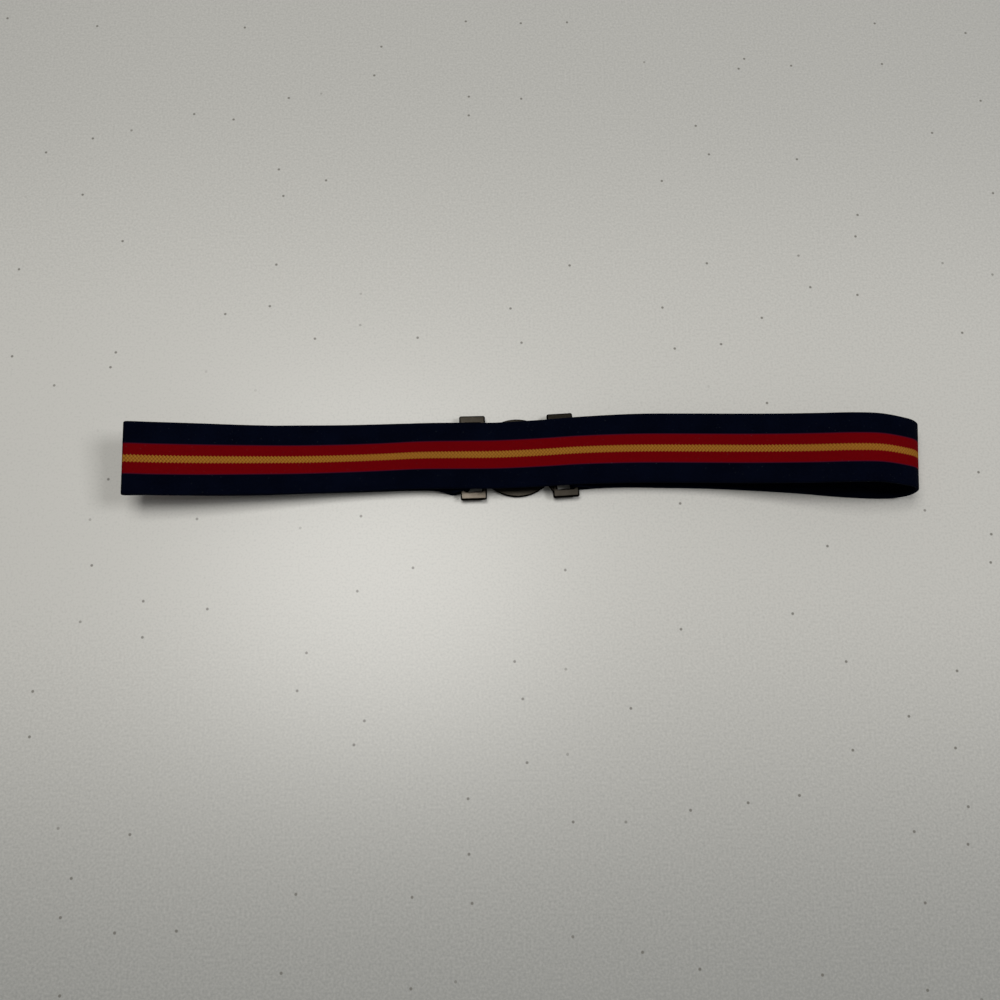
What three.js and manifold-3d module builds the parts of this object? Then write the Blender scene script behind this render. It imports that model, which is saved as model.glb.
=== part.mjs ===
// Elastic belt with a hooked disc clasp, lying as a flattened loop with the clasp's front down.
// Millimetres. +X runs along the belt to the right, +Y away from its near edge, +Z up.
// The origin is on the surface it lies on, under the middle of the belt's box.

import * as THREE from "three";
import { mergeVertices } from "three/addons/utils/BufferGeometryUtils.js";
import Module from "manifold-3d";

const wasm = await Module();
wasm.setup();

// Webbing
const strapWidth = 38;
const strapThickness = 1.8;
const selvageChamfer = 0.4;
const wrapWidth = 37.2; // where the webbing is drawn together through a loop
const tabLength = 12; // from the bar to the cut end
const tabFlat = 5; // the stretch that lies on the ply below
const tabShoulder = { out: 4.6, up: 1.5 }; // where it starts down from the bar
const wrapRadius = 2.8; // from a bar's axis to the middle of the webbing round it
const pieceGap = 0.3;

// Clasp
const loopLength = 14; // along the belt
const loopHeight = 47; // across the belt
const barWidth = 2.5;
const tipWidth = 4.5; // the short sides of a loop, which show beside the strap
const loopThickness = 2.3;
const loopCorner = 1.1;
const castEdge = 0.45; // bevel of the cast edges
const loopEdge = 0.75; // and the rounder one of the loops
const discRadius = 21.8;
const discThickness = 2.5;

// Where each half lies, with its turn about +Z in degrees
const discHalfPlace = { x: -29.6, y: 0.2, turn: 1.4 };
const slotHalfPlace = { x: 18.7, y: 1.6, turn: 3.8 };
const discFromLoop = 23.8; // from the left loop's middle to the disc's
const slotPlateGap = 0.4; // between the disc's back and the other half
const discGroove = { inset: 3, width: 1.2, depth: 0.5 }; // round the front field, from the rim
const discRound = 0.9;
const neck = { halfWidth: 11, low: 1.2, past: 1.4 }; // joins the left loop's inner bar to the disc

// Hook on the disc's back and the slot that it catches
const postFromSlotLoop = 24.5; // from the right loop's middle to the post's right side
const hookPostLength = 2.6;
const hookPostWidth = 8.4;
const hookLipReach = 3.2;
const hookLipThickness = 1.2;
const hookPlay = 0.8;
const slotPlateThickness = 2;
const slotLength = 8;
const slotWidth = 12;
const slotCrossbar = 3.6;
const webHalfWidth = 9.5;
const webShoulder = { along: 3.6, across: 5.8 }; // the web's straight slant beside the loop
const webBend = { start: 8, end: 14 }; // and the bend after it, from the loop's inner bar
const webCorner = 2;

const halfThickness = strapThickness / 2;
const laidHeight = halfThickness; // middle of the webbing where it lies flat

// The bar that each end of the webbing is wrapped round: its middle, how far its far end stands
// to the right of its near one, and how far the tab sways towards the far edge at its cut end,
// where it leaves the ply below and at its shoulder.
const leftBar = {
  x: discHalfPlace.x - loopLength / 2 + barWidth / 2,
  y: 0.06,
  z: laidHeight + wrapRadius,
  skew: -0.9,
  tabSway: [0.1, -0.4, -1],
};
const rightBar = {
  x: slotHalfPlace.x + loopLength / 2 - barWidth / 2,
  y: 1.98,
  z: discThickness + slotPlateGap + loopThickness / 2,
  skew: -2.5,
  tabSway: [0.8, 0.45, 0.3],
};

// The free run of the webbing in loop order, a row for each place where it bends: the middle
// of the webbing, how much higher its far edge is than its near one, and how far the far edge
// stands to the right of the near one.
const rightLyingPly = [
  { x: 34.4, y: 2.8, z: 0.9, lift: 0, skew: -2.4 },
  { x: 50.4, y: 3.4, z: 0.9, lift: 0, skew: -0.5 },
  { x: 73.4, y: 3.2, z: 0.9, lift: 0, skew: 0.4 },
  { x: 98.4, y: 2.7, z: 0.9, lift: 0, skew: 1.2 },
  { x: 123.4, y: 1.5, z: 0.9, lift: 0, skew: 2 },
  { x: 148.4, y: -0.1, z: 0.9, lift: 0, skew: 2.8 },
  { x: 170.4, y: -2, z: 0.9, lift: 0, skew: 3.2 },
  { x: 188.4, y: -2.9, z: 0.9, lift: 0, skew: 4 },
];
const rightFold = [
  { x: 199, y: -2.9, z: 2.2, lift: -0.6, skew: 4.2 },
  { x: 205, y: -2.7, z: 6.2, lift: -1, skew: 4.6 },
  { x: 206.2, y: -2.3, z: 12.6, lift: -1.6, skew: 4.4 },
  { x: 202.6, y: -2, z: 18.6, lift: -2.2, skew: 3.6 },
  { x: 194.3, y: -1.8, z: 23.4, lift: -2.2, skew: 3.4 },
  { x: 182.3, y: -1.1, z: 26.5, lift: -1.6, skew: 3 },
  { x: 167.8, y: -1.1, z: 27.4, lift: -0.6, skew: 2.8 },
];
const topPly = [
  { x: 150.4, y: -0.5, z: 24.2, lift: 0.6, skew: 2.4 },
  { x: 131.4, y: 0.7, z: 19.6, lift: 1.2, skew: 2 },
  { x: 111.4, y: 2, z: 15.4, lift: 2, skew: 1.6 },
  { x: 90.4, y: 3, z: 12.6, lift: 2.4, skew: 0.8 },
  { x: 58.4, y: 3.5, z: 10.8, lift: 2, skew: -0.4 },
  { x: 27.4, y: 2.7, z: 9.9, lift: 0.4, skew: -1 },
  { x: 6.4, y: 1.4, z: 9.6, lift: -0.3, skew: -1.4 },
  { x: -17.6, y: 0.3, z: 9.5, lift: -0.8, skew: -0.8 },
  { x: -36.6, y: 0.2, z: 9.2, lift: -1.2, skew: -0.6 },
  { x: -57.6, y: 0.6, z: 6.9, lift: -2.4, skew: -1 },
  { x: -78.6, y: -0.4, z: 6.5, lift: -3.2, skew: -1.6 },
  { x: -99.6, y: -1.6, z: 7.5, lift: -2.6, skew: -2 },
  { x: -120.6, y: -3, z: 10.3, lift: -1.4, skew: -2.2 },
  { x: -141.6, y: -4.2, z: 14, lift: 0.4, skew: -2.2 },
  { x: -170.6, y: -5.9, z: 20.2, lift: 4.6, skew: -1.4 },
  { x: -194, y: -6.7, z: 24.2, lift: 6.4, skew: -0.4 },
];
const leftFold = [
  { x: -206.4, y: -6.7, z: 25.4, lift: 6.6, skew: 0.2 },
  { x: -207.9, y: -6.6, z: 25, lift: 6.6, skew: 0.2 },
  { x: -208.4, y: -6.5, z: 23.9, lift: 6.6, skew: 0.2 },
  { x: -207.7, y: -6.4, z: 22.8, lift: 6.5, skew: 0.2 },
  { x: -206, y: -6.3, z: 22.3, lift: 6.4, skew: 0.2 },
];
const leftLyingPly = [
  { x: -191.6, y: -5.6, z: 20.6, lift: 6, skew: -0.6 },
  { x: -168.6, y: -4.9, z: 16, lift: 4.8, skew: -1.6 },
  { x: -141.6, y: -3.2, z: 9.9, lift: 2.2, skew: -2.2 },
  { x: -120.6, y: -1.5, z: 5.8, lift: 1, skew: -2.2 },
  { x: -99.6, y: -0.1, z: 2.6, lift: 0.2, skew: -1.6 },
  { x: -81.6, y: 0.9, z: 1.1, lift: 0, skew: -0.8 },
  { x: -63.6, y: 1.5, z: 0.9, lift: 0, skew: 0 },
  { x: -47.6, y: 1.2, z: 0.9, lift: 0, skew: 0.6 },
  { x: -40.4, y: -1, z: 0.9, lift: 0, skew: -0.2 },
];

const stationsPerRow = 3;
const columnsAcross = 6;

// Rows round a bar, from the cut end of the sewn tab, over the bar, down through the slot and
// back under it. side is 1 where the strap leaves to the right, -1 where it leaves to the left.
function wrapRows(bar, side) {
  const tabZ = laidHeight + strapThickness + pieceGap;
  const row = (out, z, sway, width) => {
    return { x: bar.x + side * out, y: bar.y + sway, z, lift: 0, skew: bar.skew, width };
  };
  const [cut, flat, shoulder] = bar.tabSway;
  const rows = [row(tabLength, tabZ, cut), row(tabLength - tabFlat, tabZ + 0.1, flat)];
  rows.push(row(tabShoulder.out, bar.z + tabShoulder.up, shoulder));
  for (const degrees of [90, 45, 0, -45, -90]) {
    const a = THREE.MathUtils.degToRad(degrees);
    const out = -wrapRadius * Math.cos(a);
    const sway = (-side * out * bar.skew) / strapWidth;
    const width = Math.abs(degrees) < 90 ? wrapWidth : strapWidth;
    rows.push(row(out, bar.z + wrapRadius * Math.sin(a), sway, width));
  }
  return rows;
}

const strapRows = [
  ...wrapRows(rightBar, 1),
  ...rightLyingPly,
  ...rightFold,
  ...topPly,
  ...leftFold,
  ...leftLyingPly,
  ...wrapRows(leftBar, -1).reverse(),
];

// The near (-1) or far (1) edge of the webbing as one smooth curve through all rows.
function strapEdge(rows, side) {
  return new THREE.CatmullRomCurve3(
    rows.map(({ x, y, z, lift, skew, width = strapWidth }) => {
      const across = Math.sqrt(width ** 2 - lift ** 2 - skew ** 2);
      return new THREE.Vector3(skew, across, lift)
        .multiplyScalar(side / 2)
        .add(new THREE.Vector3(x, y, z));
    }),
  );
}

// The webbing's section: places across (-1 near, 1 far) and through (-1 outside, 1 inside).
function sectionOutline() {
  const flat = 1 - (2 * selvageChamfer) / strapWidth;
  const side = 1 - selvageChamfer / halfThickness;
  const columns = Array.from({ length: columnsAcross + 1 }, (_, i) => (2 * i) / columnsAcross - 1);
  return [
    ...columns.map((v) => [v * flat, -1]),
    [1, -side],
    [1, side],
    ...columns.reverse().map((v) => [v * flat, 1]),
    [-1, side],
    [-1, -side],
  ];
}

// The flat cut end whose ring starts at vertex first, in strips from the near edge to the far.
function cutEnd(first, ring) {
  const faces = [];
  for (let k = -1; k <= columnsAcross; k++) {
    const corners = [k, k + 1, ring - 4 - k, ring - 3 - k];
    const [a, b, c, d] = corners.map((i) => first + ((i + ring) % ring));
    faces.push(a, b, c, a, c, d);
  }
  return faces;
}

// One closed ribbon: a ring of section points at each station, and a flat cut at both ends.
function strapGeometry() {
  const near = strapEdge(strapRows, -1);
  const far = strapEdge(strapRows, 1);
  const outline = sectionOutline();
  const stations = (strapRows.length - 1) * stationsPerRow;
  const ring = outline.length;
  const positions = [];
  const faces = [];
  for (let i = 0; i <= stations; i++) {
    const t = i / stations;
    const [a, b] = [near, far].map((edge) => edge.getPoint(t));
    a.z = Math.max(a.z, laidHeight);
    b.z = Math.max(b.z, laidHeight);
    const middle = a.clone().add(b).multiplyScalar(0.5);
    const half = b.clone().sub(a).multiplyScalar(0.5);
    const along = near.getTangent(t).add(far.getTangent(t));
    const inward = along.cross(half).normalize();
    for (const [across, through] of outline) {
      const point = middle.clone().addScaledVector(half, across);
      positions.push(...point.addScaledVector(inward, through * halfThickness));
    }
  }
  for (let i = 0; i < stations; i++) {
    for (let k = 0; k < ring; k++) {
      const a = i * ring + k;
      const b = i * ring + ((k + 1) % ring);
      faces.push(a, b + ring, a + ring, a, b, b + ring);
    }
  }
  faces.push(...cutEnd(0, ring).reverse(), ...cutEnd(stations * ring, ring));
  const geometry = new THREE.BufferGeometry();
  geometry.setAttribute("position", new THREE.Float32BufferAttribute(positions, 3));
  geometry.setIndex(faces);
  geometry.computeVertexNormals();
  return geometry;
}

function toSolid(geometry) {
  const bare = geometry.clone();
  bare.deleteAttribute("normal");
  bare.deleteAttribute("uv");
  const merged = mergeVertices(bare, 1e-4);
  return new wasm.Manifold(
    new wasm.Mesh({
      numProp: 3,
      vertProperties: merged.attributes.position.array,
      triVerts: new Uint32Array(merged.index.array),
    }),
  );
}

function fromSolid(solid) {
  const mesh = solid.getMesh();
  const geometry = new THREE.BufferGeometry();
  geometry.setAttribute("position", new THREE.BufferAttribute(mesh.vertProperties, 3));
  geometry.setIndex(new THREE.BufferAttribute(mesh.triVerts, 1));
  geometry.computeVertexNormals();
  return geometry;
}

function roundedRectangle(Path, width, height, radius) {
  const path = new Path();
  const x = width / 2;
  const y = height / 2;
  path.moveTo(-x + radius, -y);
  path.lineTo(x - radius, -y);
  path.absarc(x - radius, -y + radius, radius, -Math.PI / 2, 0);
  path.lineTo(x, y - radius);
  path.absarc(x - radius, y - radius, radius, 0, Math.PI / 2);
  path.lineTo(-x + radius, y);
  path.absarc(-x + radius, y - radius, radius, Math.PI / 2, Math.PI);
  path.lineTo(-x, -y + radius);
  path.absarc(-x + radius, -y + radius, radius, Math.PI, 1.5 * Math.PI);
  return path;
}

// A cast plate of the given outline from z = low upwards, its edges bevelled within its size.
function castPlate(shape, low, thickness, edge = castEdge) {
  const plate = new THREE.ExtrudeGeometry(shape, {
    depth: thickness - 2 * edge,
    bevelEnabled: true,
    bevelThickness: edge,
    bevelSize: edge,
    bevelOffset: -edge,
    bevelSegments: 2,
    curveSegments: 5,
  });
  plate.translate(0, 0, low + edge);
  return plate;
}

// The rectangular end loop, centred on its own middle, with its lower face at z = low.
function loopGeometry(low) {
  const outline = roundedRectangle(THREE.Shape, loopLength, loopHeight, loopCorner);
  const slotX = loopLength - 2 * barWidth;
  const slotY = loopHeight - 2 * tipWidth;
  outline.holes.push(roundedRectangle(THREE.Path, slotX, slotY, loopCorner / 2));
  return castPlate(outline, low, loopThickness, loopEdge);
}

// The disc: a flat front field inside a fine groove and a rounded rim, turned about its axis.
function discGeometry() {
  const { inset, width, depth } = discGroove;
  const grooveOuter = discRadius - inset;
  const profile = [
    [0, 0],
    [grooveOuter - width, 0],
    [grooveOuter - (2 / 3) * width, depth],
    [grooveOuter - width / 3, depth],
    [grooveOuter, 0],
    [discRadius - discRound, 0],
    [discRadius - 0.3 * discRound, 0.3 * discRound],
    [discRadius, discRound],
    [discRadius, discThickness - castEdge],
    [discRadius - castEdge, discThickness],
    [0, discThickness],
  ].map(([r, z]) => new THREE.Vector2(r, z));
  return new THREE.LatheGeometry(profile, 64).rotateX(Math.PI / 2);
}

function box(lowX, highX, halfY, lowZ, highZ) {
  const geometry = new THREE.BoxGeometry(highX - lowX, 2 * halfY, highZ - lowZ);
  return geometry.translate((lowX + highX) / 2, 0, (lowZ + highZ) / 2);
}

// Places of the hook and the slot along the belt, from the slot half's loop to the left.
const slotPlateLow = discThickness + slotPlateGap;
const slotPlateTop = slotPlateLow + slotPlateThickness;
const postRight = slotHalfPlace.x - postFromSlotLoop;

// Left half in its own frame: the loop's middle at x = 0, the disc to the right of it.
function discHalfGeometry() {
  const loopLow = leftBar.z - loopThickness / 2;
  const loopTop = loopLow + loopThickness;
  const postX = postRight - discHalfPlace.x;
  const postLeft = postX - hookPostLength;
  const lipLow = slotPlateTop + pieceGap;
  const lipTop = lipLow + hookLipThickness;
  const neckLeft = loopLength / 2 - barWidth + castEdge;
  const solids = [
    loopGeometry(loopLow),
    discGeometry().translate(discFromLoop, 0, 0),
    box(neckLeft, loopLength / 2 + neck.past, neck.halfWidth, neck.low, loopTop - castEdge),
    box(postLeft, postX, hookPostWidth / 2, discThickness / 2, lipTop),
    box(postLeft - hookLipReach, postX, hookPostWidth / 2, lipLow, lipTop),
  ].map(toSolid);
  return fromSolid(solids.reduce((whole, solid) => whole.add(solid)));
}

// Right half in its own frame: the loop's middle at x = 0, the web and its slot to the left.
function slotHalfGeometry() {
  const barEdge = -loopLength / 2 + barWidth / 2;
  const crossbarRight = -postFromSlotLoop - hookPostLength - hookPlay;
  const tip = crossbarRight - slotCrossbar;
  const cornerHalf = loopHeight / 2 - loopCorner - castEdge;
  const web = new THREE.Shape();
  web.moveTo(barEdge, -cornerHalf);
  web.lineTo(barEdge, cornerHalf);
  web.lineTo(barEdge - webShoulder.along, cornerHalf - webShoulder.across);
  web.quadraticCurveTo(barEdge - webBend.start, webHalfWidth, barEdge - webBend.end, webHalfWidth);
  web.lineTo(tip + webCorner, webHalfWidth);
  web.lineTo(tip, webHalfWidth - webCorner);
  web.lineTo(tip, -webHalfWidth + webCorner);
  web.lineTo(tip + webCorner, -webHalfWidth);
  web.lineTo(barEdge - webBend.end, -webHalfWidth);
  const slant = barEdge - webShoulder.along;
  web.quadraticCurveTo(barEdge - webBend.start, -webHalfWidth, slant, webShoulder.across - cornerHalf);
  const slot = new THREE.Path();
  slot.moveTo(crossbarRight, -slotWidth / 2);
  slot.lineTo(crossbarRight + slotLength, -slotWidth / 2);
  slot.lineTo(crossbarRight + slotLength, slotWidth / 2);
  slot.lineTo(crossbarRight, slotWidth / 2);
  web.holes.push(slot);
  const plate = toSolid(castPlate(web, slotPlateLow, slotPlateThickness));
  return fromSolid(plate.add(toSolid(loopGeometry(rightBar.z - loopThickness / 2))));
}

function webbingMaterial() {
  return new THREE.MeshStandardMaterial({ color: 0x04070f, roughness: 0.9, metalness: 0 });
}

function antiqueBronzeMaterial() {
  return new THREE.MeshStandardMaterial({ color: 0x665c53, roughness: 0.42, metalness: 0.9 });
}

function namedMesh(name, geometry, material, { x = 0, y = 0, turn = 0 } = {}) {
  const mesh = new THREE.Mesh(geometry, material);
  mesh.name = name;
  mesh.position.set(x, y, 0);
  mesh.rotation.z = THREE.MathUtils.degToRad(turn);
  return mesh;
}

const belt = new THREE.Group();
belt.add(namedMesh("strap", strapGeometry(), webbingMaterial()));
belt.add(namedMesh("clasp_disc_half", discHalfGeometry(), antiqueBronzeMaterial(), discHalfPlace));
belt.add(namedMesh("clasp_slot_half", slotHalfGeometry(), antiqueBronzeMaterial(), slotHalfPlace));

export default belt;
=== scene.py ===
# Striped elastic belt, lying fastened as a flattened loop with the front of its clasp down.
# +X runs along the belt to the right, +Y away from its near edge, +Z up. Lengths in the
# dictionaries are millimetres, and mm turns them into Blender's metres.

import bpy
import numpy as np
from mathutils import Matrix


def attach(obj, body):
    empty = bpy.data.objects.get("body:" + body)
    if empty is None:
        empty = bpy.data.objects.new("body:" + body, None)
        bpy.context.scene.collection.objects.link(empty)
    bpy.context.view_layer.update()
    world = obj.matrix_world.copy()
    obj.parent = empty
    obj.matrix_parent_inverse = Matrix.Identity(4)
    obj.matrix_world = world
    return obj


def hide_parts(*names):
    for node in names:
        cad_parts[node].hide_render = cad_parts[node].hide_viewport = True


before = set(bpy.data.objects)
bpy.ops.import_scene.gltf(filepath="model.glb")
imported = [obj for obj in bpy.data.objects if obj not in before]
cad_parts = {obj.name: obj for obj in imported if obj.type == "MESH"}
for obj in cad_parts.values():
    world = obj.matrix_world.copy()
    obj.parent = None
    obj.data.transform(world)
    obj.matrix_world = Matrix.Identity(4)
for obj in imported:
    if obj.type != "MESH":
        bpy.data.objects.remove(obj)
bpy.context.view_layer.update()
mm = 0.001
print("frame loaded:", ", ".join(sorted(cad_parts)))

cameraPlace = {
    "target": (-15.1, -22.3, 0),  # what the middle of the picture shows
    "distance": 535,
    "elevation": 75,  # degrees above the table
    "lean": 1,  # degrees by which the line of sight leans to the right
    "lens": 36,
    "sensor": 36,
}


def placeCamera(place):
    # Looks along forward at the target, with the picture's own right as near to +X as it can be.
    lean, rise = np.radians([place["lean"], place["elevation"]])
    forward = unit(np.array([np.sin(lean), np.cos(rise), -np.sin(rise)]))
    right = unit(np.array([1, 0, 0]) - forward[0] * forward)
    up = np.cross(right, forward)
    eye = (np.array(place["target"]) - place["distance"] * forward) * mm
    data = bpy.data.cameras.new("camera")
    data.lens = place["lens"]
    data.sensor_width = place["sensor"]
    camera = bpy.data.objects.new("camera", data)
    matrix = np.eye(4)
    matrix[:3] = np.column_stack([right, up, -forward, eye])
    camera.matrix_world = Matrix(matrix.tolist())
    bpy.context.scene.collection.objects.link(camera)
    bpy.context.scene.camera = camera


def unit(vectors):
    return vectors / np.linalg.norm(vectors, axis=-1, keepdims=True)


def smoothStep(low, high, x):
    # 0 at low and before it, 1 at high and past it, and 3t^2 - 2t^3 between them
    t = np.clip((x - low) / (high - low), 0, 1)
    return t * t * (3 - 2 * t)


def newPiece(name, points, faces, uv=None):
    # One object from points in millimetres and faces as rows of point numbers. uv is a row of
    # metres for each point.
    mesh = bpy.data.meshes.new(name)
    mesh.from_pydata(points * mm, [], faces)
    mesh.polygons.foreach_set("use_smooth", np.ones(len(mesh.polygons), bool))
    if uv is not None:
        corners = np.empty(len(mesh.loops), int)
        mesh.loops.foreach_get("vertex_index", corners)
        mesh.uv_layers.new(name="weave").data.foreach_set("uv", uv[corners].ravel())
    mesh.update()
    piece = bpy.data.objects.new(name, mesh)
    bpy.context.scene.collection.objects.link(piece)
    return piece


def gridFaces(rows, columns):
    # Quads between neighbouring rows of points, also from the last column to the first
    first = np.arange(rows - 1)[:, None] * columns
    k = np.arange(columns)[None, :]
    after = (k + 1) % columns
    quads = [first + k, first + columns + k, first + columns + after, first + after]
    return np.stack(quads, -1).reshape(-1, 4)


class Wire:
    # A socket of a node tree. An expression on wires adds the Math nodes that work it out.
    def __init__(self, tree, socket=None):
        self.tree = tree
        self.socket = socket

    def node(self, kind, settings=None, sockets=None, output=0):
        # Any other node: its settings are set first, then its sockets get values or wires.
        made = self.tree.nodes.new(kind)
        for name, value in (settings or {}).items():
            setattr(made, name, value)
        for name, value in (sockets or {}).items():
            if isinstance(value, Wire):
                self.tree.links.new(value.socket, made.inputs[name])
            else:
                made.inputs[name].default_value = value
        return Wire(self.tree, made.outputs[output] if made.outputs else None)

    def maths(self, operation, *others):
        terms = dict(enumerate((self, *others)))
        return self.node("ShaderNodeMath", {"operation": operation}, terms)

    def __add__(self, other):
        return self.maths("ADD", other)

    def __sub__(self, other):
        return self.maths("SUBTRACT", other)

    def __rsub__(self, other):
        return self.node("ShaderNodeMath", {"operation": "SUBTRACT"}, {0: other, 1: self})

    def __mul__(self, other):
        return self.maths("MULTIPLY", other)

    def __truediv__(self, other):
        return self.maths("DIVIDE", other)

    def __abs__(self):
        return self.maths("ABSOLUTE")

    __radd__ = __add__
    __rmul__ = __mul__

    def part(self, name):
        # x, y or z of a vector
        return self.node("ShaderNodeSeparateXYZ", None, {0: self}, name)

    def fade(self, low, high):
        # 0 where this is at low, 1 where it is at high, smooth between
        settings = {"interpolation_type": "SMOOTHSTEP"}
        return self.node("ShaderNodeMapRange", settings, {0: self, 1: low, 2: high})

    def noise(self, scale, detail):
        # Cloudy noise around 0.5, at the place that this vector gives
        sockets = {"Vector": self, "Scale": scale, "Detail": detail}
        return self.node("ShaderNodeTexNoise", None, sockets)

    def mix(self, first, second):
        # first where this is 0, second where it is 1; both are colours or wires
        settings = {"data_type": "RGBA"}
        return self.node("ShaderNodeMix", settings, {0: self, 6: first, 7: second}, 2)


def newMaterial(name):
    material = bpy.data.materials.new(name)
    material.use_nodes = True
    material.node_tree.nodes.clear()
    return material, Wire(material.node_tree)


def finishMaterial(shader, sockets):
    surface = shader.node("ShaderNodeBsdfPrincipled", None, sockets)
    shader.node("ShaderNodeOutputMaterial", None, {"Surface": surface})


strap = {
    "width": 38,
    "thickness": 1.8,
    "edgeRound": 0.8,  # how far the rounding of a selvage reaches in
    "perRow": 60,  # places worked out from one row of the tables below to the next
    "step": 0.6,  # between the sections of the finished webbing
    "facesAcross": 18,
    "facesRound": 4,  # round each selvage, an even number
    "wrapWidth": 37.2,  # where it is drawn together through a loop
    "tabLength": 12,  # from a bar to the cut end
    "tabFlat": 5,  # of that, from the cut end
    "tabRise": 0.1,  # of the flat part towards the bar
    "tabShoulder": (4.6, 1.5),  # out from the bar and up
    "tabGap": 0.3,  # to the ply that the tab is sewn to
    "wrapRadius": 2.8,
    "ripple": 0.16,  # height of the cloth's slow waves
    "rippleFrom": (1, 6),  # height over the lying ply at which they begin, and are full
    "longWave": (23, 31),  # how far along and across a radian of it reaches
    "shortWave": (9.7, 14),
    "shortShare": 0.6,  # of the short wave at the selvages
    "stitchSink": 0.22,  # how far a row of stitches pulls the cloth in
    "sinkWidth": 0.7,
    "sinkEnds": (18.4, 17),  # from the middle: where the pull ends, and where it is full
}

# sway is how far a tab stands towards the far edge at its cut end, where it leaves the ply below
# and at its shoulder.
leftBar = {"x": -35.35, "y": 0.06, "z": 3.7, "skew": -0.9, "sway": (0.1, -0.4, -1)}
rightBar = {"x": 24.45, "y": 1.98, "z": 4.05, "skew": -2.5, "sway": (0.8, 0.45, 0.3)}

# The free run of the webbing in loop order: x, y and z of its middle, how much higher its far
# edge is than its near one, how far the far edge stands to the right of the near one, and how
# far the far edge droops.
rightLyingPly = [
    (34.4, 2.8, 0.9, 0, -2.4, 0),
    (50.4, 3.4, 0.9, 0, -0.5, 0),
    (73.4, 3.2, 0.9, 0, 0.4, 0),
    (98.4, 2.7, 0.9, 0, 1.2, 0),
    (123.4, 1.5, 0.9, 0, 2, 0),
    (148.4, -0.1, 0.9, 0, 2.8, 0),
    (170.4, -2, 0.9, 0, 3.2, 0),
    (188.4, -2.9, 0.9, 0, 4, 0),
]
rightFold = [
    (199, -2.9, 2.2, -0.6, 4.2, 0),
    (205, -2.7, 6.2, -1, 4.6, 0),
    (206.2, -2.3, 12.6, -1.6, 4.4, 0),
    (202.6, -2, 18.6, -2.2, 3.6, 0),
    (194.3, -1.8, 23.4, -2.2, 3.4, 0),
    (182.3, -1.1, 26.5, -1.6, 3, 0),
    (167.8, -1.1, 27.4, -0.6, 2.8, 0),
]
topPly = [
    (150.4, -0.5, 24.2, 0.6, 2.4, 0),
    (131.4, 0.7, 19.6, 1.2, 2, 0),
    (111.4, 2, 15.4, 2, 1.6, 0),
    (90.4, 3, 12.6, 2.4, 0.8, 0),
    (58.4, 3.5, 10.8, 2, -0.4, 0.4),
    (27.4, 2.7, 9.9, 0.4, -1, 1.4),
    (6.4, 1.4, 9.6, -0.3, -1.4, 2.3),
    (-17.6, 0.3, 9.5, -0.8, -0.8, 2.8),
    (-36.6, 0.2, 9.2, -1.2, -0.6, 2),
    (-57.6, 0.6, 6.9, -2.4, -1, 1.3),
    (-78.6, -0.4, 6.5, -3.2, -1.6, 0.6),
    (-99.6, -1.6, 7.5, -2.6, -2, 0.2),
    (-120.6, -3, 10.3, -1.4, -2.2, 0),
    (-141.6, -4.2, 14, 0.4, -2.2, 0),
    (-170.6, -5.9, 20.2, 4.6, -1.4, 0),
    (-194, -6.7, 24.2, 6.4, -0.4, 0),
]
leftFold = [
    (-206.4, -6.7, 25.4, 6.6, 0.2, 0),
    (-207.9, -6.6, 25, 6.6, 0.2, 0),
    (-208.4, -6.5, 23.9, 6.6, 0.2, 0),
    (-207.7, -6.4, 22.8, 6.5, 0.2, 0),
    (-206, -6.3, 22.3, 6.4, 0.2, 0),
]
leftLyingPly = [
    (-191.6, -5.6, 20.6, 6, -0.6, 0),
    (-168.6, -4.9, 16, 4.8, -1.6, 0),
    (-141.6, -3.2, 9.9, 2.2, -2.2, 0),
    (-120.6, -1.5, 5.8, 1, -2.2, 0),
    (-99.6, -0.1, 2.6, 0.2, -1.6, 0),
    (-81.6, 0.9, 1.1, 0, -0.8, 0),
    (-63.6, 1.5, 0.9, 0, 0, 0),
    (-47.6, 1.2, 0.9, 0, 0.6, 0),
    (-40.4, -1, 0.9, 0, -0.2, 0),
]


def wrapRows(bar, side):
    # From the cut end of the sewn tab over the bar, down through the loop and back under it.
    # side is 1 where the webbing leaves to the right, -1 where it leaves to the left.
    tabHeight = 1.5 * strap["thickness"] + strap["tabGap"]
    out, up = strap["tabShoulder"]
    turn = np.radians([90, 45, 0, -45, -90])
    around = -strap["wrapRadius"] * np.cos(turn)
    away = [strap["tabLength"], strap["tabLength"] - strap["tabFlat"], out, *around]
    height = bar["z"] + strap["wrapRadius"] * np.sin(turn)
    height = [tabHeight, tabHeight + strap["tabRise"], bar["z"] + up, *height]
    sway = [*bar["sway"], *(-side * around * bar["skew"] / strap["width"])]
    rows = zip(away, sway, height)
    return [(bar["x"] + side * x, bar["y"] + y, z, 0, bar["skew"], 0) for x, y, z in rows]


def throughRows(rows, perRow):
    # A smooth path through the rows: a cubic from each row to the next, whose slopes at both
    # come from the rows around it, each weighed by the root of its distance.
    first, last = 2 * rows[0] - rows[1], 2 * rows[-1] - rows[-2]
    around = np.vstack([first, rows, last])
    gaps = np.sqrt(np.linalg.norm(np.diff(around, axis=0), axis=1, keepdims=True))
    before, here, after = gaps[:-2], gaps[1:-1], gaps[2:]
    a, b, c, d = around[:-3], around[1:-2], around[2:-1], around[3:]
    slopeB = ((b - a) / before - (c - a) / (before + here) + (c - b) / here) * here
    slopeC = ((c - b) / here - (d - b) / (here + after) + (d - c) / after) * here
    t = (np.arange(perRow) / perRow)[None, :, None]
    b, c, slopeB, slopeC = (v[:, None] for v in (b, c, slopeB, slopeC))
    cubic = 2 * (b - c) + slopeB + slopeC
    square = 3 * (c - b) - 2 * slopeB - slopeC
    path = b + t * (slopeB + t * (square + t * cubic))
    return np.vstack([path.reshape(-1, rows.shape[1]), rows[-1:]])


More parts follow.
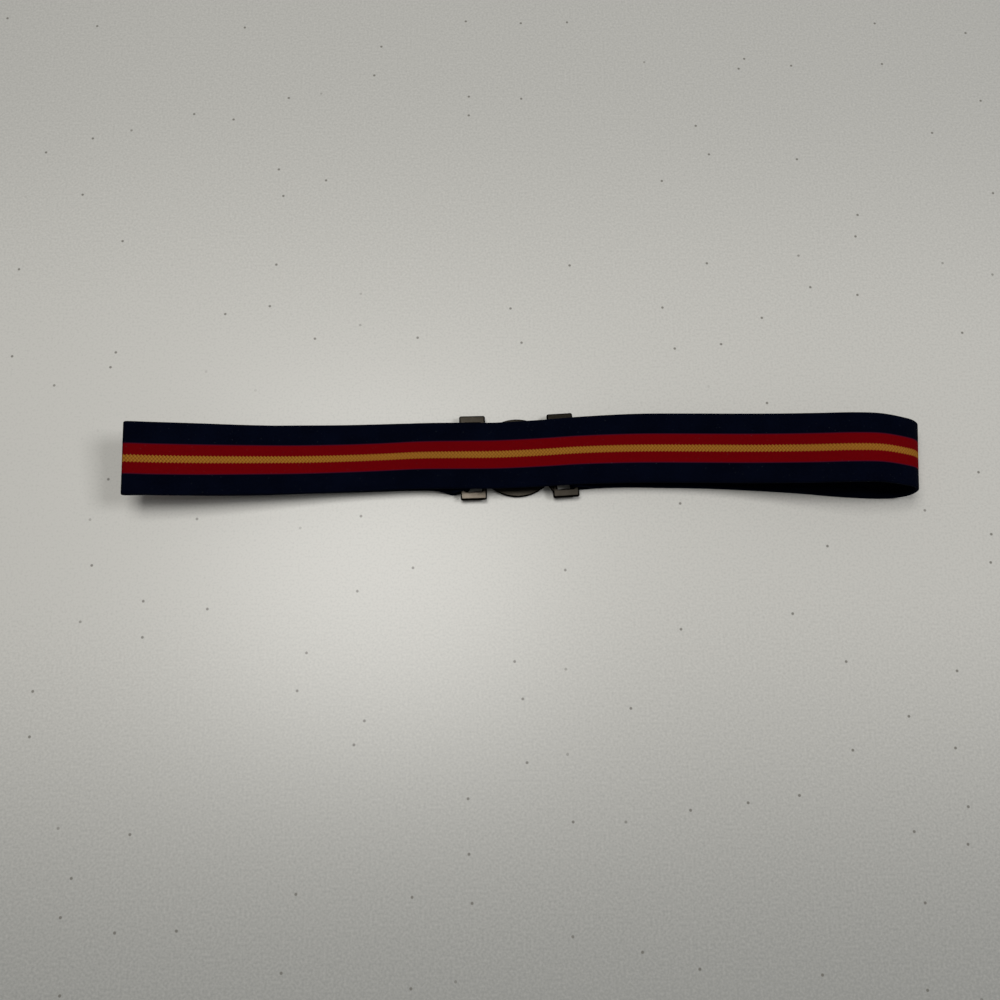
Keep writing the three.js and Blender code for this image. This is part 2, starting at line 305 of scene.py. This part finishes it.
def strapStations():
    # The near and far edge and the droop at even steps along the webbing's middle line, and
    # how far along each step is.
    rows = wrapRows(rightBar, 1) + rightLyingPly + rightFold + topPly + leftFold
    rows = np.array(rows + leftLyingPly + wrapRows(leftBar, -1)[::-1], float)
    middle, lift, skew, droop = rows[:, :3], rows[:, 3], rows[:, 4], rows[:, 5]
    width = np.full(len(rows), float(strap["width"]))
    width[[4, 5, 6, -7, -6, -5]] = strap["wrapWidth"]  # the rows that go through a loop
    across = np.sqrt(width**2 - lift**2 - skew**2)
    half = np.column_stack([skew, across, lift]) / 2
    near, far = (throughRows(middle + side * half, strap["perRow"]) for side in (-1, 1))
    near[:, 2], far[:, 2] = (np.maximum(v[:, 2], strap["thickness"] / 2) for v in (near, far))
    droop = np.interp(np.linspace(0, len(rows) - 1, len(near)), np.arange(len(rows)), droop)
    steps = np.linalg.norm(np.diff((near + far) / 2, axis=0), axis=1)
    along = np.concatenate([[0], np.cumsum(steps)])
    even = np.linspace(0, along[-1], round(along[-1] / strap["step"]) + 1)
    smooth = np.column_stack([near, far, droop])
    at = np.column_stack([np.interp(even, along, column) for column in smooth.T])
    return even, at[:, :3], at[:, 3:6], at[:, 6]


along, nearEdge, farEdge, farDroop = strapStations()
print(f"webbing: {along[-1]:.0f} mm of {strap['width']} mm, {len(along)} sections")


def strapSection():
    # Half of the webbing's section, from the near selvage over the outside to the far one:
    # across in mm from the middle, and through from 0 at mid thickness to 1 at the face.
    reach = strap["width"] / 2 - strap["edgeRound"]
    turn = np.radians(90 * (np.arange(strap["facesRound"] // 2) + 0.5) / (strap["facesRound"] / 2))
    across = np.linspace(-reach, reach, strap["facesAcross"] + 1)
    side = reach + strap["edgeRound"] * np.cos(turn)
    across = np.concatenate([-side, across, side[::-1]])
    through = np.concatenate([np.sin(turn), np.ones(strap["facesAcross"] + 1), np.sin(turn)[::-1]])
    return across, through


def sink(station, across, stitches):
    # How far rows of stitches pull the faces in: a dip exp(-(distance / width)^2) along each
    # row, which fades out past the row's last stitch.
    far = station[:, None] - stitches[None, :]
    dips = np.exp(-((far / strap["sinkWidth"]) ** 2)).sum(1)[:, None]
    return dips * smoothStep(*strap["sinkEnds"], abs(across))


def strapPiece():
    # At s along and a across, the middle of the thickness is middle(s) + a * cross(s)
    # + (waves + droop(s) * (a / half width)^3) * inward(s), the droop on the far side only.
    # The waves are a long sine of s and a, and a short one that grows as (a / half width)^2.
    # The two faces stand half the thickness to either side, less what the stitches pull in.
    across, through = strapSection()
    half = (farEdge - nearEdge) / 2
    middle = (farEdge + nearEdge) / 2
    inward = unit(np.cross(np.gradient(middle, axis=0), half))
    s, a = along[:, None], across[None, :]
    edge = a / (strap["width"] / 2)
    free = smoothStep(*strap["rippleFrom"], middle[:, 2:] - strap["thickness"])
    short = np.sin(s / strap["shortWave"][0] - a / strap["shortWave"][1])
    waves = np.sin(s / strap["longWave"][0] + a / strap["longWave"][1])
    waves = waves + strap["shortShare"] * short * edge**2
    offset = strap["ripple"] * free * waves + farDroop[:, None] * np.maximum(edge, 0) ** 3
    core = middle[:, None] + half[:, None] * edge[..., None] + inward[:, None] * offset[..., None]
    depth = strap["thickness"] / 2 * through[None, :]
    depth = depth - strap["stitchSink"] * np.minimum(sink(along, a, stitchLines()), 1) * through
    body = inward[:, None] * depth[..., None]
    points = np.concatenate([core + body, (core - body)[:, ::-1]], axis=1)
    columns = points.shape[1]
    uv = np.empty((len(along), columns, 2))
    uv[..., 0] = s
    uv[..., 1] = np.concatenate([across, across[::-1]])
    caps = np.arange(columns // 2 - 1)
    cap = np.stack([caps, caps + 1, columns - 2 - caps, columns - 1 - caps], -1)
    end = cap[:, ::-1] + (len(along) - 1) * columns
    faces = np.vstack([gridFaces(len(along), columns), cap, end])
    return newPiece("webbing", points.reshape(-1, 3), faces, uv.reshape(-1, 2) * mm)


stitch = {
    "fromCut": (1.3, 3.9),  # the two rows of each tab, from its cut end
    "length": 2.3,
    "pitch": 2.9,
    "thread": 0.24,  # half its thickness
    "reach": 17.2,  # from the webbing's middle to the first stitch's end, at most to the last's
    "wander": 0.06,  # standard deviation of a stitch's place
    "seed": 4,
    "taper": 0.98,
    "stand": 0.1,  # out of the cloth in the middle, in half thicknesses of the thread
    "dive": 1.6,  # of the ends into the cloth, in the same
    "low": 1.15,  # height over the table of the threads below the lying ply, in the same
    "search": 150,  # from each end of the webbing, where its rows of stitches are found
    "facesAlong": 12,
    "facesRound": 8,
    "twist": 0.5,  # length of the thread's twist
    "twistDepth": 0.03,
    "dark": (0.002, 0.003, 0.008, 1),
    "light": (0.008, 0.011, 0.022, 1),
    "roughness": 0.6,
}


def stitchLines():
    # How far along the webbing each row of stitches lies: first where it goes through the ply
    # below the tab, then on the tab itself.
    middleX = (nearEdge[:, 0] + farEdge[:, 0]) / 2
    height = (nearEdge[:, 2] + farEdge[:, 2]) / 2
    lines = []
    for bar, side in ((rightBar, 1), (leftBar, -1)):
        end = (along if side > 0 else along[-1] - along) < stitch["search"]
        for fromCut in stitch["fromCut"]:
            at = bar["x"] + side * (strap["tabLength"] - fromCut)
            here = end & (abs(middleX - at) < strap["step"])
            lower = here & (height < strap["thickness"])
            lines += [along[lower].mean(), along[here & ~lower].mean()]
    return np.array(lines)


def stitchPiece():
    # A stitch is a thread along t from -1 to 1. Its half thickness goes as the 4th root of
    # 1 - taper * t^8, and its middle line stands out of the cloth at t = 0 and dives in as t^4.
    t = np.linspace(-1, 1, stitch["facesAlong"] + 1)[:, None]
    turn = np.linspace(0, 2 * np.pi, stitch["facesRound"], endpoint=False)[None, :]
    thick = stitch["thread"] * (1 - stitch["taper"] * t**8) ** 0.25
    tabTop = 2 * strap["thickness"] + strap["tabGap"]
    lowest = stitch["low"] * stitch["thread"]
    onTab = stitchLines()[1::2]
    x, y = (np.interp(onTab, along, v) for v in (nearEdge + farEdge).T[:2] / 2)
    skew = np.repeat([rightBar["skew"], leftBar["skew"]], len(stitch["fromCut"]))
    rows = [(*v, z, up) for v in zip(x, y, skew) for z, up in ((tabTop, 1), (lowest, -1))]
    x, y, skew, high, up = (v[:, None] for v in np.array(rows).T)
    first = -stitch["reach"] + stitch["length"] / 2
    places = np.arange(first, stitch["reach"] - stitch["length"] / 2, stitch["pitch"])
    draws = np.random.default_rng(stitch["seed"])
    wander = draws.normal(0, stitch["wander"], (2, len(rows), len(places)))
    x = (x + skew * places / strap["width"] + wander[0])[..., None, None]
    y = (y + places + wander[1])[..., None, None]
    high, up = high[..., None, None], up[..., None, None]
    stand = up * stitch["thread"] * (stitch["stand"] - stitch["dive"] * t**4)
    shape = np.broadcast_shapes(x.shape, t.shape, turn.shape, up.shape)
    points = np.empty((*shape, 3))
    points[..., 0] = x + thick * np.cos(turn)
    points[..., 1] = y + stitch["length"] / 2 * t
    points[..., 2] = high + stand + thick * np.sin(turn)
    count, columns = shape[0] * shape[1], shape[2] * shape[3]
    firsts = np.arange(count)[:, None, None] * columns
    around = np.arange(shape[3])[None, :]
    ends = np.vstack([around, columns - 1 - around])
    faces = (firsts + gridFaces(shape[2], shape[3])).reshape(-1, 4).tolist()
    faces += (firsts + ends).reshape(-1, shape[3]).tolist()
    return newPiece("tab_stitches", points.reshape(-1, 3), faces)


weave = {
    "shift": 0.3,  # of the stripes' middle towards the near edge
    "gold": 1.75,  # half the width of the gold stripe
    "red": 7.75,  # from the stripes' middle to the navy
    "serration": 0.3,  # of the gold stripe's edges
    "twill": 1.8,  # length of one repeat of the gold twill
    "lozenge": 2,  # its width
    "warp": 0.62,  # between neighbouring warp threads
    "pick": 0.95,  # between picks of the plain weave
    "navyColour": (0.0006, 0.0012, 0.0045, 1),
    "navyWorn": (0.0014, 0.0026, 0.0085, 1),
    "redColour": (0.155, 0.0008, 0.0028, 1),
    "redShade": (0.085, 0.0004, 0.0018, 1),
    "plumColour": (0.06, 0.004, 0.016, 1),
    "goldColour": (0.36, 0.152, 0.021, 1),
    "goldShade": (0.17, 0.06, 0.008, 1),
    "lintColour": (0.06, 0.065, 0.07, 1),
    "blur": 0.12,  # half of a stripe edge's
    "plum": (0.4, 0.15),  # from the red's edge: where the plum line starts, and where it is full
    "patchScale": 60,  # of the noise for worn patches, uneven yarn and lint, all to a metre
    "slubScale": 900,
    "lintScale": 1300,
    "lint": (0.74, 0.78),  # of that noise, where lint starts and is full
    "roughness": 0.8,
    "shine": 0.012,
    "bump": 0.12,  # height of the threads
}


def webbingMaterial():
    # Plain weave: on each warp thread of width w an oval bump every pick p, half a pick
    # further on every other thread:
    # |sin(pi a / w)|^0.6 * (0.35 + 0.65 |sin(pi (s / p + thread / 2))|).
    # Gold twill: two waves that run diagonally, sin(pi (s / twill + a / lozenge)) and
    # sin(pi (s / twill - a / lozenge)), cross in lozenges.
    material, shader = newMaterial("striped_webbing")
    place = shader.node("ShaderNodeUVMap", {"uv_map": "weave"}, None)
    s = place.part("X") / mm
    a = place.part("Y") / mm
    side = abs(a + weave["shift"])
    odd = (a / weave["warp"]).maths("FLOOR").maths("FLOORED_MODULO", 2)
    ridge = abs((a * (np.pi / weave["warp"])).maths("SINE"))
    oval = abs((s * (np.pi / weave["pick"]) + odd * (np.pi / 2)).maths("SINE"))
    plain = ridge.maths("POWER", 0.6) * (0.35 + 0.65 * oval)
    turn = np.pi / weave["twill"]
    slant = (a + weave["shift"]) * (np.pi / weave["lozenge"])
    rising, falling = (s * turn + slant).maths("SINE"), (s * turn - slant).maths("SINE")
    ribs = (s * (6 * turn)).maths("SINE")
    twill = abs(rising * falling).fade(0.02, 0.35) * (0.85 + 0.15 * ribs)
    edge = (s * (2 * turn)).maths("SINE")
    blur = weave["blur"]
    gold = (side - edge * weave["serration"]).fade(weave["gold"] + blur, weave["gold"] - blur)
    navy = side.fade(weave["red"] - blur, weave["red"] + blur)
    border = abs(side - weave["red"]).fade(*weave["plum"])
    patch = place.noise(weave["patchScale"], 4)
    slub = place.noise(weave["slubScale"], 2)
    wear = (patch * 0.6 + slub * 0.4 + plain * 0.25).fade(0.45, 0.85)
    red = (plain * 0.7 + slub * 0.5).fade(0.2, 0.8).mix(weave["redShade"], weave["redColour"])
    blue = wear.mix(weave["navyColour"], weave["navyWorn"])
    yellow = (twill + slub * 0.4 - 0.2).fade(0, 1).mix(weave["goldShade"], weave["goldColour"])
    colour = gold.mix(navy.mix(red, blue), yellow)
    colour = (border * 0.7).mix(colour, weave["plumColour"])
    lint = place.noise(weave["lintScale"], 1).fade(*weave["lint"])
    colour = (lint * 0.5).mix(colour, weave["lintColour"])
    height = gold * (twill * 1.3) + (1 - gold) * plain
    bump = shader.node("ShaderNodeBump", None, {"Height": height, "Distance": weave["bump"] * mm})
    finishMaterial(
        shader,
        {
            "Base Color": colour,
            "Roughness": weave["roughness"],
            "Specular IOR Level": weave["shine"],
            "Normal": bump,
        },
    )
    return material


def threadMaterial():
    # Navy sewing thread, its twist a diagonal ripple sin(2 pi (2 x + y) / twist).
    material, shader = newMaterial("sewing_thread")
    place = shader.node("ShaderNodeTexCoord", None, None, "Object")
    x, y = place.part("X"), place.part("Y")
    ply = ((x * 2 + y) * (2 * np.pi / (stitch["twist"] * mm))).maths("SINE")
    colour = ply.fade(-1, 1).mix(stitch["dark"], stitch["light"])
    depth = stitch["twistDepth"] * mm
    bump = shader.node("ShaderNodeBump", None, {"Height": ply, "Distance": depth})
    finishMaterial(
        shader, {"Base Color": colour, "Roughness": stitch["roughness"], "Normal": bump}
    )
    return material


bronze = {
    "metal": (0.06, 0.052, 0.042, 1),
    # Unrubbed bronze, which also paints the shade towards the far right end
    "dullAndShaded": (0.015, 0.013, 0.01, 1),
    # Nearly black: patina, with painted shade on the sides and bevels that turn from the light
    "patinaAndShade": (0.005, 0.004, 0.003, 1),
    # A lighter bronze for the painted highlight on the near left end
    "litMetal": (0.185, 0.157, 0.128, 1),
    "roughness": 0.42,
    "glance": (0.15, 0.13, 0.11, 1),  # what a slanting view keeps of the usual shine
    "metallic": 0.92,
    "flat": (0.94, 0.99),  # how level a face is where the patina and its painted shade end, and where they are all gone
    "cloudScale": 220,  # of the noise for the rubbed patches and the grain, both to a metre
    "grainScale": 2600,
    "grain": 0.06,  # depth of the casting's grain
}


def bronzeMaterial():
    # Antique bronze. Bevels and upright sides are nearly black: patina, with painted shade of the
    # faces that turn from the light. The flat faces are rubbed to metal in patches, with a painted
    # highlight towards the near left end and painted shade towards the far right, the near left
    # end lying where -x - 1.2 y is large.
    # Its roughness is roughness + 0.25 (cloud - 0.5) + 0.5 (1 - flat).
    material, shader = newMaterial("antique_bronze")
    place = shader.node("ShaderNodeTexCoord", None, None, "Object")
    faces = shader.node("ShaderNodeNewGeometry", None, None, "True Normal")
    flat = abs(faces.part("Z")).fade(*bronze["flat"])
    # Grows towards the near left end, where light and a painted highlight are put
    towardsLitCorner = place.part("Y") * -1.2 - place.part("X")
    cloud = place.noise(bronze["cloudScale"], 5)
    grain = place.noise(bronze["grainScale"], 3)
    patches = cloud * 0.7 + grain * 0.3
    # Rubbed metal in patches, with more metal towards the near left end as painted light
    rubbedAndLit = (patches + towardsLitCorner * 10).fade(0.1, 1)
    # Painted highlight on the near left end, broken into patches
    paintedHighlight = towardsLitCorner.fade(0.035, 0.065) * patches.fade(0.25, 0.6)
    metal = paintedHighlight.mix(rubbedAndLit.mix(bronze["dullAndShaded"], bronze["metal"]), bronze["litMetal"])
    # Bevels and upright sides get the patina and painted shade, the flat faces get the metal
    colour = flat.mix(bronze["patinaAndShade"], metal)
    roughness = bronze["roughness"] + 0.25 * (cloud - 0.5) + 0.5 * (1 - flat)
    bump = shader.node("ShaderNodeBump", None, {"Height": grain, "Distance": bronze["grain"] * mm})
    finishMaterial(
        shader,
        {
            "Base Color": colour,
            "Metallic": bronze["metallic"],
            "Roughness": roughness,
            "Specular Tint": bronze["glance"],
            "Normal": bump,
        },
    )
    return material


def dress(piece, material):
    piece.data.materials.append(material)
    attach(piece, "root")
    return piece


webbing = dress(strapPiece(), webbingMaterial())
stitches = dress(stitchPiece(), threadMaterial())
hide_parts("strap")
print("webbing and stitches made")

castMetal = bronzeMaterial()
for half in ("clasp_disc_half", "clasp_slot_half"):
    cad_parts[half].material_slots[0].material = castMetal
print("clasp finished")

studio = {
    "floor": 4000,  # side of the floor
    "floorBelow": 0.05,  # the belt
    "floorColour": (0.65, 0.64, 0.6, 1),
    # The colour of the painted shade, where the floor's light falls off
    "floorShade": (0.37, 0.372, 0.352, 1),
    "shadeFalloffs": [  # painted shade where the floor's light falls off: axis, where it starts and where it is full in metres, and how strong it is
        ("Y", (-0.05, -0.3), 0.9),
        ("Y", (0.03, 0.25), 0.32),
        ("X", (-0.25, 0.05), 0.06),
    ],
    "mottle": 0.9,  # strength of the mottling
    "mottleScale": 800,
    "floorDust": (0.16, 0.15, 0.13, 1),
    "dustScale": 36,  # cells to a metre, each with one speck or none
    "speck": (0.034, 0.018),  # from its middle: where it starts, and where it is full
    "speckPick": (0.6, 0.7),  # a cell's random number, from no speck to a full one
    "floorRoughness": 0.33,
    "sky": 0.14,
    "skyColour": (1, 1, 1, 1),
    "lights": [  # name, place, where it points, side, watts, colour, seen in reflections
        ("overhead", (-190, 150, 1100), (-90, -20, 0), 500, 5.7, (1, 0.99, 0.96), True),
        ("right", (1330, 0, 1650), (-20, 0, 0), 630, 16, (0.99, 0.99, 1), False),
    ],
}


def stageAndLights():
    # The floor's colour goes from its own colour to the painted shade's colour by a sum of smooth
    # steps along x and y, which paint the falloff of the light as shade, and of mottling. Its dust
    # is round specks in the cells of a flat Voronoi pattern.
    side = studio["floor"] / 2
    corners = np.array([(-side, -side, 0), (side, -side, 0), (side, side, 0), (-side, side, 0)])
    floor = newPiece("floor", corners - (0, 0, studio["floorBelow"]), np.array([[0, 1, 2, 3]]))
    material, shader = newMaterial("pale_table")
    place = shader.node("ShaderNodeTexCoord", None, None, "Object")
    mottle = place.noise(studio["mottleScale"], 4)
    flat, cells = {"voronoi_dimensions": "2D"}, {"Vector": place, "Scale": studio["dustScale"]}
    apart = shader.node("ShaderNodeTexVoronoi", flat, cells, "Distance")
    pick = shader.node("ShaderNodeTexVoronoi", flat, cells, "Color").part("X")
    dust = apart.fade(*studio["speck"]) * pick.fade(*studio["speckPick"])
    # Painted shade: darker towards the near and far edges and the right, as the light falls off
    shadeFalloffs = [share * place.part(axis).fade(*ends) for axis, ends, share in studio["shadeFalloffs"]]
    shadeAndMottle = sum(shadeFalloffs[1:], shadeFalloffs[0]) + studio["mottle"] * (mottle - 0.5)
    colour = shadeAndMottle.mix(studio["floorColour"], studio["floorShade"])
    colour = (dust * 0.8).mix(colour, studio["floorDust"])
    finishMaterial(shader, {"Base Color": colour, "Roughness": studio["floorRoughness"]})
    floor.data.materials.append(material)
    for name, place, target, size, watts, colour, reflected in studio["lights"]:
        data = bpy.data.lights.new(name, "AREA")
        data.size = size * mm
        data.energy = watts
        data.color = colour
        light = bpy.data.objects.new(name, data)
        light.visible_glossy = reflected
        back = unit(np.array(place, float) - np.array(target, float))
        right = unit(np.cross([0, 1, 0], back))
        matrix = np.eye(4)
        matrix[:3] = np.column_stack([right, np.cross(back, right), back, np.array(place) * mm])
        light.matrix_world = Matrix(matrix.tolist())
        bpy.context.scene.collection.objects.link(light)
    world = bpy.data.worlds.new("studio")
    world.use_nodes = True
    sky = world.node_tree.nodes["Background"].inputs
    sky["Strength"].default_value = studio["sky"]
    sky["Color"].default_value = studio["skyColour"]
    bpy.context.scene.world = world


placeCamera(cameraPlace)
stageAndLights()
bpy.context.scene.view_settings.view_transform = "Standard"
print("camera, floor and lights placed")
